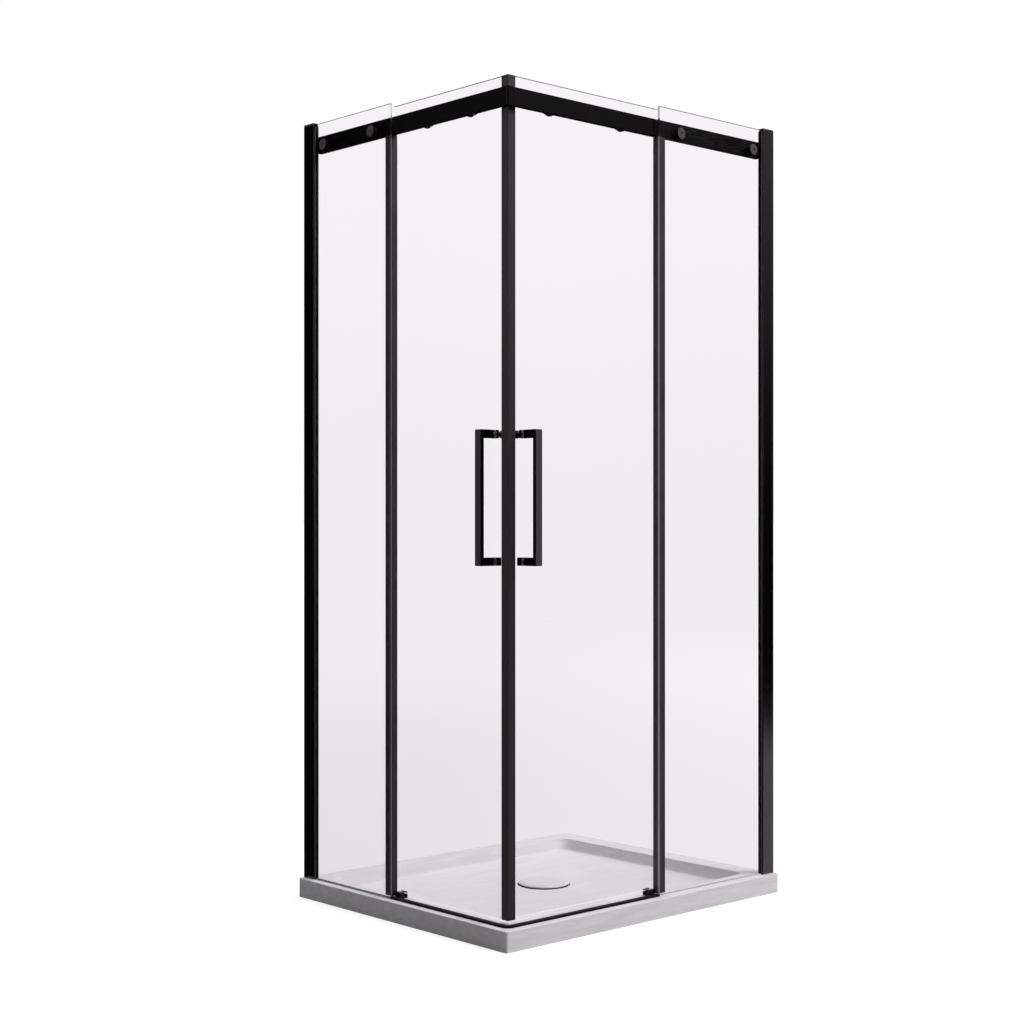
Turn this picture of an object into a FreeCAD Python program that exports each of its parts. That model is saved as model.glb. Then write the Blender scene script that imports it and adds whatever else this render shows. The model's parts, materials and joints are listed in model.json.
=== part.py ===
import FreeCAD, Part
import os
import re
import Sketcher

# A corner-entry shower enclosure: a low tray, two fixed panes and two sliding doors on hidden rollers.
# Millimetres, +Z up, origin at the centre of the tray's underside.
# The doors meet at the entry corner (-X, -Y). The front face runs along X and the side face along Y.
# On each face s is the distance from the entry corner along the face, and d the inset from the tray's edge.

FACES = ("front", "side")

SIZES = {
    # Tray: a shallow slab with a flat rim and a basin that falls to the waste.
    "tray_length": 900,
    "tray_width": 750,
    "tray_height": 45,
    "tray_corner": 5,
    "tray_edge": 1.5,
    "rim_width": 60,
    "basin_depth": 27,
    "basin_slope": 9,
    "basin_corner": 26,
    "basin_foot": 7,
    "floor_margin": 12,
    "floor_fall": 3,
    # Waste: a ring seated in a round recess a little off the tray's middle, under a loose domed cover.
    "waste_shift_x": 38,
    "waste_shift_y": 28,
    "recess_radius": 65,
    "recess_depth": 8,
    "waste_hole_radius": 45,
    "flange_radius": 58,
    "flange_thick": 3,
    "outlet_radius": 40,
    "outlet_lift": 1,
    "outlet_gap": 0.5,
    "cover_radius": 62,
    "cover_thick": 3,
    "cover_crown": 5,
    "cover_edge": 1,
    "foot_ring": 50,
    "foot_radius": 4,
    "foot_height": 7.5,
    # Panes. A fixed pane's free edge lies a little past the middle of its face.
    "glass_thick": 6,
    "panel_height": 1821,
    "fixed_inset": 20,
    "edge_past_middle": 44,
    "fixed_end_gap": 1.6,
    "base_seal_height": 3,
    "base_seal_width": 8,
    # Wall profiles: an outer channel on the wall and an inner one that holds the pane.
    "channel_depth": 15,
    "channel_length": 39,
    "channel_wall": 1.6,
    "wall_hole_radius": 2.75,
    "wall_hole_inset": 180,
    "liner_wall": 1.4,
    "liner_reach": 5,
    "liner_back": 8,
    "liner_web_set": 20,
    "liner_drop": 4,
    "slide_gap": 0.2,
    "channel_cap_thick": 4,
    "cap_tongue_height": 10,
    "lock_set": 14,
    "lock_radius": 2,
    "lock_length": 8,
    "lock_head_radius": 3.5,
    "lock_head_thick": 2,
    # Rails: hollow bars, open towards the doors, clamped to the fixed panes.
    "rail_depth": 12,
    "rail_height": 40,
    "rail_drop": 29,
    "rail_wall": 2,
    "rail_slot": 18,
    "corner_reach": 17,
    "corner_round": 5,
    "tongue_length": 22,
    "tongue_gap": 0.3,
    "corner_screw_radius": 2.5,
    "plug_plate": 2,
    "plug_length": 15,
    "stop_length": 20,
    "stop_height": 24,
    "stop_gap": 0.5,
    # Clamps: a round disc outside the pane and a stud through it into the rail.
    "clamp_edge_inset": 70,
    "clamp_wall_inset": 75,
    "clamp_rise": 15.5,
    "clamp_radius": 14,
    "clamp_thick": 4,
    "clamp_bevel": 1,
    "clamp_stud_radius": 4,
    "clamp_washer_radius": 12,
    "spacer_thick": 4,
    "spacer_radius": 11,
    "washer_thick": 1,
    "hole_gap": 0.3,
    # Closing profiles on the fixed panes' free edges, with brushes that meet the doors.
    "closing_width": 24,
    "closing_depth": 15,
    "closing_wall": 1.5,
    "closing_slot": 4.4,
    "closing_lift": 5,
    "closing_head_gap": 1,
    "brush_width": 3.6,
    "brush_base": 7,
    "brush_base_thick": 1.4,
    "brush_head_drop": 17,
    "brush_lift": 15,
    "brush_gap": 0.4,
    # Threshold strip and bottom guides on the tray's rim.
    "strip_inset": 19,
    "strip_width": 12,
    "strip_height": 5,
    "strip_round": 7,
    "guide_width": 18,
    "guide_gap": 1,
    "guide_height": 15,
    "guide_base": 4,
    "guide_outer_jaw": 11.5,
    "guide_inner_jaw": 3.5,
    "guide_clearance": 0.5,
    "guide_screw_radius": 2,
    "guide_screw_depth": 8,
    "guide_head_radius": 3,
    "guide_head_thick": 2,
    # Doors.
    "door_gap": 4,
    "door_lift": 12,
    "door_overlap": 22,
    "post_lip": 2,
    "post_width": 21.5,
    "post_pocket": 6,
    "post_lift": 9,
    "pocket_gap": 0.2,
    "magnet_thick": 4,
    "corner_gap": 0.3,
    "trail_grip": 7.5,
    "trail_nose": 1.5,
    "trail_wall": 1.6,
    # Door handles.
    "handle_set": 34,
    "handle_centre": 915,
    "handle_length": 294,
    "handle_width": 18,
    "handle_bar": 10,
    "handle_leg": 18,
    "handle_reach": 40,
    "handle_round": 2,
    "handle_clear": 15.5,
    "handle_hole_radius": 5,
    "stud_radius": 3,
    "stud_depth": 13,
    "handle_washer_radius": 9,
    # Inside fittings: a square cap on the lower stud, and a collar with a round pull knob on the upper one.
    "inside_cap_depth": 14.5,
    "collar_depth": 8,
    "knob_neck_radius": 6,
    "knob_neck_length": 14,
    "knob_radius": 9,
    "knob_length": 9,
    "knob_bevel": 1.5,
    # Rollers.
    "roller_lead_inset": 120.5,
    "roller_trail_inset": 128,
    "wheel_radius": 14.7,
    "wheel_width": 5,
    "wheel_set": 2,
    "wheel_bevel": 0.5,
    "running_gap": 0.3,
    "bearing_radius": 8,
    "bearing_ring": 1.5,
    "bearing_shield": 0.4,
    "axle_radius": 2.5,
    "axle_head_radius": 4.5,
    "axle_head_thick": 1.2,
    "axle_play": 0.1,
    "fit_gap": 0.05,
    "hub_radius": 5,
    "hub_flange_radius": 20,
    "hub_flange_gap": 0.6,
    "roller_hole_gap": 0.3,
    "roller_cap_radius": 14.5,
    "roller_cap_thick": 6,
    "roller_cap_bevel": 1.5,
    "spigot_length": 2,
    # How far a cutting shape runs past the face that it cuts, and how near two places count as one.
    "overrun": 1,
    "nearness": 0.01,
}

# Places worked out from the sizes above.
PLACES = {
    "basin_floor": "tray_height - basin_depth",
    "waste_floor": "basin_floor - floor_fall",
    "recess_floor": "waste_floor - recess_depth",
    "flange_top": "recess_floor + flange_thick",
    "cover_low": "flange_top + foot_height",
    "glass_top": "tray_height + panel_height",
    "fixed_in": "fixed_inset + glass_thick",
    "fixed_mid": "fixed_inset + glass_thick / 2",
    "fixed_low": "tray_height + base_seal_height",
    "channel_out": "fixed_mid - channel_depth / 2",
    "channel_in": "fixed_mid + channel_depth / 2",
    "liner_out": "channel_out + channel_wall + slide_gap",
    "liner_in": "channel_in - channel_wall - slide_gap",
    "seal_out": "liner_out + liner_wall",
    "seal_in": "liner_in - liner_wall",
    "liner_top": "glass_top - liner_drop",
    "rail_out": "fixed_in + spacer_thick",
    "rail_in": "rail_out + rail_depth",
    "rail_top": "glass_top - rail_drop",
    "rail_low": "rail_top - rail_height",
    "rail_start": "rail_out + corner_reach",
    "bore_out": "rail_out + rail_wall",
    "bore_in": "rail_in - rail_wall",
    "bore_low": "rail_low + rail_wall",
    "bore_top": "rail_top - rail_wall",
    "clamp_height": "rail_low + clamp_rise",
    "axle_height": "bore_low + running_gap + wheel_radius",
    "door_out": "rail_in + door_gap",
    "door_in": "door_out + glass_thick",
    "door_low": "tray_height + door_lift",
    "post_out": "door_out - post_lip",
    "post_in": "door_in + post_lip",
    "post_end": "post_out + post_width",
    "post_low": "tray_height + post_lift",
    "pocket_end": "post_end - post_pocket",
    "pocket_out": "door_out - pocket_gap",
    "pocket_in": "door_in + pocket_gap",
    "closing_in": "fixed_in + closing_depth",
    "closing_low": "tray_height + closing_lift",
    "closing_top": "rail_low - closing_head_gap",
    "brush_tip": "door_out - brush_gap",
    "strip_in": "strip_inset + strip_width",
    "guide_low": "tray_height + guide_base",
    "guide_top": "tray_height + guide_height",
    "guide_slot_out": "door_out - guide_clearance",
    "guide_slot_in": "door_in + guide_clearance",
    "guide_axis": "(door_out + door_in) / 2",
    "handle_axis": "post_end + handle_set",
    "handle_start": "handle_axis - handle_width / 2",
    "handle_end": "handle_axis + handle_width / 2",
    "handle_out": "door_out - handle_reach",
    "handle_in": "door_out - washer_thick",
    "handle_low": "tray_height + handle_centre - handle_length / 2",
    "handle_top": "handle_low + handle_length",
    "wheel_out": "bore_out + wheel_set",
    "wheel_in": "wheel_out + wheel_width",
    "roller_lead": "post_out + roller_lead_inset",
    "span_front": "tray_length",
    "span_side": "tray_width",
}
for face in FACES:
    PLACES[f"edge_{face}"] = f"span_{face} / 2 + edge_past_middle"
    PLACES[f"trail_{face}"] = f"edge_{face} + door_overlap"
    PLACES[f"brush_axis_{face}"] = f"edge_{face} + closing_width / 2"
    PLACES[f"roller_trail_{face}"] = f"trail_{face} - roller_trail_inset"
    PLACES[f"travel_{face}"] = f"edge_{face} - handle_end - handle_clear"
    PLACES[f"channel_start_{face}"] = f"span_{face} - channel_length"
    PLACES[f"rail_end_{face}"] = f"channel_start_{face} - plug_plate"
    PLACES[f"liner_start_{face}"] = f"channel_start_{face} - liner_reach"
    PLACES[f"liner_web_{face}"] = f"span_{face} - liner_web_set - liner_wall"
    PLACES[f"fixed_end_{face}"] = f"liner_web_{face} - fixed_end_gap"
    PLACES[f"lock_axis_{face}"] = f"span_{face} - lock_set"

# Heights of the lock screws as shares of the panel height above the rim.
LOCK_HEIGHT_SHARES = (0.12, 0.5, 0.88)
# Number of feet under the waste cover.
COVER_FEET = 3

doc = FreeCAD.newDocument("shower_enclosure")
sheet = doc.addObject("Spreadsheet::Sheet", "Sizes")
for row, (alias, size) in enumerate(SIZES.items(), start=1):
    sheet.set(f"A{row}", alias)
    sheet.set(f"B{row}", str(size))
    sheet.setAlias(f"B{row}", alias)
doc.recompute()
places = doc.addObject("App::VarSet", "Places")
nodes = {}


def formula(text):
    """Write the owner's name before each size or place that a formula names."""
    def owner(match):
        word = match.group()
        if word in SIZES:
            return "Sizes." + word
        return "Places." + word if word in PLACES else word
    return re.sub(r"[a-z_]+", owner, text)


for name, text in PLACES.items():
    places.addProperty("App::PropertyFloat", name, "Places")
for name, text in PLACES.items():
    places.setExpression(name, formula(text))
doc.recompute()


def value(text):
    """The number that a formula gives now."""
    return float(places.evalExpression(formula(text)))


def node(name, piece):
    """Keep a finished sub-part under its own name."""
    piece.Label = name
    nodes[name] = piece
    return piece


def locate(piece, x, y, z):
    """Bind a piece's position to formulas."""
    for axis, text in zip("xyz", (x, y, z)):
        piece.setExpression("Placement.Base." + axis, formula(text))


def on_face(face, s, d):
    """Formulas for X and Y of a point of a face."""
    along, across = (s, d) if face == "front" else (d, s)
    return f"({along}) - tray_length / 2", f"({across}) - tray_width / 2"


def aim_inward(piece, face):
    """Turn a piece from the vertical so that it points into the enclosure, square to a face."""
    axis, angle = (FreeCAD.Vector(1, 0, 0), -90) if face == "front" else (FreeCAD.Vector(0, 1, 0), 90)
    piece.Placement = FreeCAD.Placement(FreeCAD.Vector(), FreeCAD.Rotation(axis, angle))


def new_body(name):
    return doc.addObject("PartDesign::Body", name)


def new_sketch(body, role, height="0"):
    """A sketch on one of the body's own origin planes, raised by a height."""
    sketch = body.newObject("Sketcher::SketchObject", body.Name + "_sketch")
    plane = next(item for item in body.Origin.OriginFeatures if item.Role == role)
    sketch.AttachmentSupport = [(plane, "")]
    sketch.MapMode = "FlatFace"
    sketch.setExpression("AttachmentOffset.Base.z", formula(height))
    return sketch


def draw(sketch, points):
    """Draw a closed outline whose corners are bound to formulas."""
    corners = [FreeCAD.Vector(value(x), value(y), 0) for x, y in points]
    count = len(corners)
    sketch.addGeometry([Part.LineSegment(corners[i], corners[(i + 1) % count]) for i in range(count)])
    sketch.addConstraint([Sketcher.Constraint("Coincident", i, 2, (i + 1) % count, 1) for i in range(count)])
    for i, (x, y) in enumerate(points):
        for kind, number, text in (("DistanceX", corners[i].x, x), ("DistanceY", corners[i].y, y)):
            index = sketch.addConstraint(Sketcher.Constraint(kind, -1, 1, i, 1, number))
            sketch.setExpression(f"Constraints[{index}]", formula(text))
    return sketch


def circle(sketch, x, y, radius):
    """Draw a circle bound to formulas."""
    middle = FreeCAD.Vector(value(x), value(y), 0)
    sketch.addGeometry(Part.Circle(middle, FreeCAD.Vector(0, 0, 1), value(radius)))
    for kind, number, text in (("DistanceX", middle.x, x), ("DistanceY", middle.y, y)):
        index = sketch.addConstraint(Sketcher.Constraint(kind, -1, 1, 0, 3, number))
        sketch.setExpression(f"Constraints[{index}]", formula(text))
    index = sketch.addConstraint(Sketcher.Constraint("Radius", 0, value(radius)))
    sketch.setExpression(f"Constraints[{index}]", formula(radius))
    return sketch


def pad(body, sketch, length, reverse=False):
    feature = body.newObject("PartDesign::Pad", body.Name + "_pad")
    feature.Profile = sketch
    feature.setExpression("Length", formula(length))
    feature.Reversed = reverse
    return feature


def revolve(body, sketch):
    feature = body.newObject("PartDesign::Revolution", body.Name + "_turn")
    feature.Profile = sketch
    feature.ReferenceAxis = (sketch, ["V_Axis"])
    feature.Angle = 360
    return feature


def fillet(body, base, radius, chosen):
    """Round the edges of a feature that pass a test."""
    doc.recompute()
    names = [f"Edge{i}" for i, edge in enumerate(base.Shape.Edges, start=1) if chosen(edge)]
    feature = body.newObject("PartDesign::Fillet", body.Name + "_fillet")
    feature.Base = (base, names)
    feature.setExpression("Radius", formula(radius))
    doc.recompute()
    return feature


def near(first, second):
    return abs(first - second) < value("nearness")


def edge_heights(edge):
    """The lowest and highest end of an edge."""
    heights = [vertex.Point.z for vertex in edge.Vertexes]
    return min(heights), max(heights)


def is_upright(edge):
    return not near(*edge_heights(edge))


def is_level_at(edge, height):
    return all(near(end, height) for end in edge_heights(edge))


def is_upright_at(edge, x, y):
    """Whether an edge stands on a place, given as formulas in its body's own axes."""
    middle = edge.CenterOfMass
    return is_upright(edge) and near(middle.x, value(x)) and near(middle.y, value(y))


def column(name, face, outline, low, high):
    """An upright profile: an outline of (s, d) corners, padded from low to high."""
    body = new_body(name)
    sketch = draw(new_sketch(body, "XY_Plane"), [(s, d) if face == "front" else (d, s) for s, d in outline])
    pad(body, sketch, f"({high}) - ({low})")
    locate(body, "-tray_length / 2", "-tray_width / 2", low)
    return body


def beam(name, face, outline, start, end):
    """A level profile: an outline of (d, z) corners, padded along a face from start to end."""
    body = new_body(name)
    sketch = draw(new_sketch(body, "YZ_Plane" if face == "front" else "XZ_Plane"), outline)
    pad(body, sketch, f"({end}) - ({start})", reverse=face != "front")
    locate(body, *on_face(face, start, "0"), "0")
    return body


def turned(name, face, outline, s, height):
    """A round piece on an axis square to a face: an outline of (radius, d) corners."""
    body = new_body(name)
    revolve(body, draw(new_sketch(body, "XZ_Plane"), outline))
    aim_inward(body, face)
    locate(body, *on_face(face, s, "0"), height)
    return body


def slab(name, face, s, d, z):
    """A plain bar between two values of s, d and z."""
    box = doc.addObject("Part::Box", name)
    sides = (s, d, z) if face == "front" else (d, s, z)
    for key, (low, high) in zip(("Length", "Width", "Height"), sides):
        box.setExpression(key, formula(f"({high}) - ({low})"))
    locate(box, *on_face(face, s[0], d[0]), z[0])
    return box


def rod(name, face, s, d, height, radius):
    """A round bar square to a face, between two values of d."""
    cylinder = doc.addObject("Part::Cylinder", name)
    cylinder.setExpression("Radius", formula(radius))
    cylinder.setExpression("Height", formula(f"({d[1]}) - ({d[0]})"))
    aim_inward(cylinder, face)
    locate(cylinder, *on_face(face, s, d[0]), height)
    return cylinder


def cut(name, base, tools):
    feature = doc.addObject("Part::Cut", name)
    feature.Base = base
    feature.Tool = tools[0] if len(tools) == 1 else group(name + "_tools", tools)
    return feature


def fuse(name, pieces):
    feature = doc.addObject("Part::MultiFuse", name)
    feature.Shapes = pieces
    return feature


def group(name, pieces):
    compound = doc.addObject("Part::Compound", name)
    compound.Links = pieces
    return compound


def ring(inner, outer, start, end):
    """The outline of a plain ring, as (radius, d) corners."""
    return [(inner, start), (outer, start), (outer, end), (inner, end)]


def frame_outline(inset):
    """A rectangle inset from the tray's sides, about the tray's middle."""
    x, y = f"tray_length / 2 - ({inset})", f"tray_width / 2 - ({inset})"
    return [(f"-({x})", f"-({y})"), (x, f"-({y})"), (x, y), (f"-({x})", y)]


def build_tray():
    """The tray: slab, tapered basin, fall to the waste, recess and outlet, and the guides' screw holes."""
    body = new_body("tray_block")
    slab_pad = pad(body, draw(new_sketch(body, "XY_Plane"), frame_outline("0")), "tray_height")
    fillet(body, slab_pad, "tray_corner", is_upright)
    basin = body.newObject("PartDesign::SubtractiveLoft", "tray_basin")
    basin.Profile = draw(new_sketch(body, "XY_Plane", "tray_height"), frame_outline("rim_width"))
    foot = draw(new_sketch(body, "XY_Plane", "basin_floor"), frame_outline("rim_width + basin_slope"))
    basin.Sections = [foot]
    basin.Ruled = True
    floor, rim = value("basin_floor"), value("tray_height")
    corners = fillet(body, basin, "basin_corner",
                     lambda edge: is_upright(edge) and near(edge_heights(edge)[0], floor))
    around = fillet(body, corners, "basin_foot", lambda edge: is_level_at(edge, floor))
    fillet(body, around, "tray_edge", lambda edge: is_level_at(edge, rim))
    fall = body.newObject("PartDesign::SubtractiveLoft", "tray_fall")
    fall.Profile = draw(new_sketch(body, "XY_Plane", "basin_floor"),
                        frame_outline("rim_width + basin_slope + basin_foot + floor_margin"))
    left, right = "waste_shift_x - recess_radius", "waste_shift_x + recess_radius"
    front, back = "waste_shift_y - recess_radius", "waste_shift_y + recess_radius"
    low = [(left, front), (right, front), (right, back), (left, back)]
    fall.Sections = [draw(new_sketch(body, "XY_Plane", "waste_floor"), low)]
    fall.Ruled = True
    holes = [spun("waste_well", [
        ("0", "basin_floor + overrun"), ("recess_radius", "basin_floor + overrun"),
        ("recess_radius", "recess_floor"), ("waste_hole_radius", "recess_floor"),
        ("waste_hole_radius", "-overrun"), ("0", "-overrun")])]
    for face in FACES:
        hole = doc.addObject("Part::Cylinder", f"tray_hole_{face}")
        hole.setExpression("Radius", formula("guide_screw_radius + hole_gap"))
        hole.setExpression("Height", formula("guide_screw_depth + overrun + hole_gap"))
        locate(hole, *guide_screw_place(face), "tray_height - guide_screw_depth - hole_gap")
        holes.append(hole)
    node("shower_tray", cut("shower_tray", body, holes))


def guide_screw_place(face):
    return on_face(face, f"edge_{face} - guide_gap - guide_width / 2", "guide_axis")


def spun(name, outline):
    """A round piece about the waste's upright axis: an outline of (radius, z) corners."""
    body = new_body(name)
    revolve(body, draw(new_sketch(body, "XZ_Plane"), outline))
    locate(body, "waste_shift_x", "waste_shift_y", "0")
    return body


def build_waste():
    """The outlet ring and the loose cover on its three feet."""
    outer = "waste_hole_radius - outlet_gap"
    node("waste_flange", spun("waste_flange", [
        ("outlet_radius", "outlet_lift"), (outer, "outlet_lift"), (outer, "recess_floor"),
        ("flange_radius", "recess_floor"), ("flange_radius", "flange_top"), ("outlet_radius", "flange_top")]))
    body = spun("waste_cover", cover_outline())
    foot = circle(new_sketch(body, "XY_Plane", "flange_top"), "foot_ring", "0", "foot_radius")
    foot_pad = pad(body, foot, "foot_height + cover_thick / 2 + cover_crown * (1 - foot_ring / cover_radius)")
    feet = body.newObject("PartDesign::PolarPattern", "cover_feet")
    feet.Originals = [foot_pad]
    feet.Axis = (foot, ["N_Axis"])
    feet.Angle = 360
    feet.Occurrences = COVER_FEET
    body.Tip = feet
    node("waste_cover", body)


def cover_outline():
    """A domed disc: its top and underside rise from the edge to the middle, as (radius, z) corners."""
    top = "cover_low + cover_thick"
    return [("0", "cover_low + cover_crown"), ("cover_radius - cover_edge", "cover_low"),
            ("cover_radius", "cover_low + cover_edge"), ("cover_radius", f"{top} - cover_edge"),
            ("cover_radius - cover_edge", top), ("0", f"{top} + cover_crown")]


def lock_heights():
    return [f"tray_height + panel_height * {share}" for share in LOCK_HEIGHT_SHARES]


def build_wall_profiles(face):
    """The channel on the wall, the liner that holds the pane, the cap and the seals beside the glass."""
    span, start = f"span_{face}", f"channel_start_{face}"
    web = f"{span} - channel_wall"
    inner, outer = "channel_in - channel_wall", "channel_out + channel_wall"
    channel = column(f"channel_bar_{face}", face, [
        (start, "channel_out"), (span, "channel_out"), (span, "channel_in"), (start, "channel_in"),
        (start, inner), (web, inner), (web, outer), (start, outer)], "tray_height", "glass_top")
    hole = "lock_radius + hole_gap"
    tools = [rod(f"channel_lock_hole_{face}_{i}", face, f"lock_axis_{face}",
                 ("fixed_mid", "channel_in + overrun"), height, hole)
             for i, height in enumerate(lock_heights())]
    for end, height in (("low", "tray_height + wall_hole_inset"), ("high", "glass_top - wall_hole_inset")):
        drill = doc.addObject("Part::Cylinder", f"wall_hole_{face}_{end}")
        drill.setExpression("Radius", formula("wall_hole_radius"))
        drill.setExpression("Height", formula("channel_wall + 2 * overrun"))
        aim_inward(drill, "side" if face == "front" else "front")
        locate(drill, *on_face(face, f"{web} - overrun", "fixed_mid"), height)
        tools.append(drill)
    node(f"wall_channel_{face}", cut(f"wall_channel_{face}", channel, tools))

    lip, back = f"liner_start_{face}", f"{span} - liner_back"
    near, far = f"liner_web_{face}", f"liner_web_{face} + liner_wall"
    liner = column(f"liner_bar_{face}", face, [
        (lip, "liner_out"), (back, "liner_out"), (back, "seal_out"), (far, "seal_out"), (far, "seal_in"),
        (back, "seal_in"), (back, "liner_in"), (lip, "liner_in"), (lip, "seal_in"), (near, "seal_in"),
        (near, "seal_out"), (lip, "seal_out")], "tray_height", "liner_top")
    tools = [rod(f"liner_lock_hole_{face}_{i}", face, f"lock_axis_{face}",
                 ("fixed_mid", "liner_in + overrun"), height, hole)
             for i, height in enumerate(lock_heights())]
    node(f"glass_channel_{face}", cut(f"glass_channel_{face}", liner, tools))

    plate = slab(f"cap_plate_{face}", face, (start, span), ("channel_out", "channel_in"),
                 ("glass_top", "glass_top + channel_cap_thick"))
    tongue = slab(f"cap_tongue_{face}", face, (f"{back} + hole_gap", f"{web} - slide_gap"),
                  ("liner_out", "liner_in"), ("glass_top - cap_tongue_height", "glass_top"))
    cap = fuse(f"channel_cap_{face}", [plate, tongue])
    seals = [slab(f"glazing_seal_{face}_{where}", face, (lip, f"fixed_end_{face}"), limits,
                  ("fixed_low", "liner_top"))
             for where, limits in (("out", ("seal_out", "fixed_inset")), ("in", ("fixed_in", "seal_in")))]
    screws = [turned(f"lock_screw_{face}_{i}", face, [
        ("0", "channel_in - lock_length"), ("lock_radius", "channel_in - lock_length"),
        ("lock_radius", "channel_in"), ("lock_head_radius", "channel_in"),
        ("lock_head_radius", "channel_in + lock_head_thick"), ("0", "channel_in + lock_head_thick")],
        f"lock_axis_{face}", height) for i, height in enumerate(lock_heights())]
    return cap, seals, screws


def clamp_places(face):
    return (("edge", f"edge_{face} + clamp_edge_inset"), ("wall", f"span_{face} - clamp_wall_inset"))


def build_fixed_pane(face):
    """The fixed pane, the seal under it, and the closing profile with its brush on the free edge."""
    edge, end = f"edge_{face}", f"fixed_end_{face}"
    pane = slab(f"fixed_pane_{face}", face, (edge, end), ("fixed_inset", "fixed_in"),
                ("fixed_low", "glass_top"))
    holes = [rod(f"fixed_hole_{face}_{where}", face, s, ("fixed_inset - overrun", "fixed_in + overrun"),
                 "clamp_height", "clamp_stud_radius + hole_gap") for where, s in clamp_places(face)]
    node(f"fixed_glass_{face}", cut(f"fixed_glass_{face}", pane, holes))

    half = "base_seal_width / 2"
    seal = slab(f"base_seal_{face}", face, (edge, f"liner_start_{face}"),
                (f"fixed_mid - {half}", f"fixed_mid + {half}"), ("tray_height", "fixed_low"))

    far, wall = f"{edge} + closing_width", "closing_wall"
    low, high = f"brush_axis_{face} - closing_slot / 2", f"brush_axis_{face} + closing_slot / 2"
    lips = f"closing_in - {wall}"
    node(f"closing_profile_{face}", column(f"closing_profile_{face}", face, [
        (edge, "fixed_in"), (far, "fixed_in"), (far, "closing_in"), (high, "closing_in"), (high, lips),
        (f"{far} - {wall}", lips), (f"{far} - {wall}", f"fixed_in + {wall}"),
        (f"{edge} + {wall}", f"fixed_in + {wall}"), (f"{edge} + {wall}", lips), (low, lips),
        (low, "closing_in"), (edge, "closing_in")], "closing_low", "closing_top"))

    axis = f"brush_axis_{face}"
    foot, top = f"{lips} - slide_gap - brush_base_thick", f"{lips} - slide_gap"
    brush = column(f"closing_brush_{face}", face, [
        (f"{axis} - brush_base / 2", foot), (f"{axis} + brush_base / 2", foot),
        (f"{axis} + brush_base / 2", top), (f"{axis} + brush_width / 2", top),
        (f"{axis} + brush_width / 2", "brush_tip"), (f"{axis} - brush_width / 2", "brush_tip"),
        (f"{axis} - brush_width / 2", top), (f"{axis} - brush_base / 2", top)],
        "tray_height + brush_lift", "rail_low - brush_head_drop")
    return seal, brush


def build_rail(face):
    """The hollow rail with its end plug and stops, and the clamps that hold it to the fixed pane."""
    half = "rail_slot / 2"
    slot_low, slot_top = f"axle_height - {half}", f"axle_height + {half}"
    bar = beam(f"rail_bar_{face}", face, [
        ("rail_out", "rail_low"), ("rail_in", "rail_low"), ("rail_in", slot_low), ("bore_in", slot_low),
        ("bore_in", "bore_low"), ("bore_out", "bore_low"), ("bore_out", "bore_top"), ("bore_in", "bore_top"),
        ("bore_in", slot_top), ("rail_in", slot_top), ("rail_in", "rail_top"), ("rail_out", "rail_top")],
        "rail_start", f"rail_end_{face}")
    holes = [rod(f"rail_hole_{face}_{where}", face, s, ("rail_out - overrun", "bore_out + overrun"),
                 "clamp_height", "clamp_stud_radius + hole_gap") for where, s in clamp_places(face)]
    node(f"rail_{face}", cut(f"rail_{face}", bar, holes))

    inside = (("bore_out + tongue_gap", "bore_in - tongue_gap"),
              ("bore_low + tongue_gap", "bore_top - tongue_gap"))
    end = f"rail_end_{face}"
    plug = fuse(f"rail_end_plug_{face}", [
        slab(f"plug_plate_{face}", face, (end, f"channel_start_{face}"), ("rail_out", "rail_in"),
             ("rail_low", "rail_top")),
        slab(f"plug_tongue_{face}", face, (f"{end} - plug_length", end), *inside)])
    shut = "roller_lead - wheel_radius - stop_gap"
    wide = f"roller_trail_{face} + travel_{face} + wheel_radius + stop_gap"
    stops = [slab(f"rail_stop_{face}_{name}", face, (low, f"{low} + stop_length"), inside[0],
                  ("bore_low", "bore_low + stop_height"))
             for name, low in (("shut", f"{shut} - stop_length"), ("wide", wide))]

    discs, washers, spacers = [], [], []
    front = "fixed_inset - washer_thick"
    back = f"{front} - clamp_thick"
    hole = "clamp_stud_radius + hole_gap"
    for where, s in clamp_places(face):
        discs.append(turned(f"clamp_disc_{face}_{where}", face, [
            ("0", back), ("clamp_radius - clamp_bevel", back), ("clamp_radius", f"{back} + clamp_bevel"),
            ("clamp_radius", front), ("clamp_stud_radius", front), ("clamp_stud_radius", "bore_out"),
            ("0", "bore_out")], s, "clamp_height"))
        washers.append(turned(f"clamp_washer_{face}_{where}", face,
                              ring(hole, "clamp_washer_radius", front, "fixed_inset"), s, "clamp_height"))
        spacers.append(turned(f"clamp_spacer_{face}_{where}", face,
                              ring(hole, "spacer_radius", "fixed_in", "rail_out"), s, "clamp_height"))
    return plug, stops, discs, washers, spacers


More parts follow.
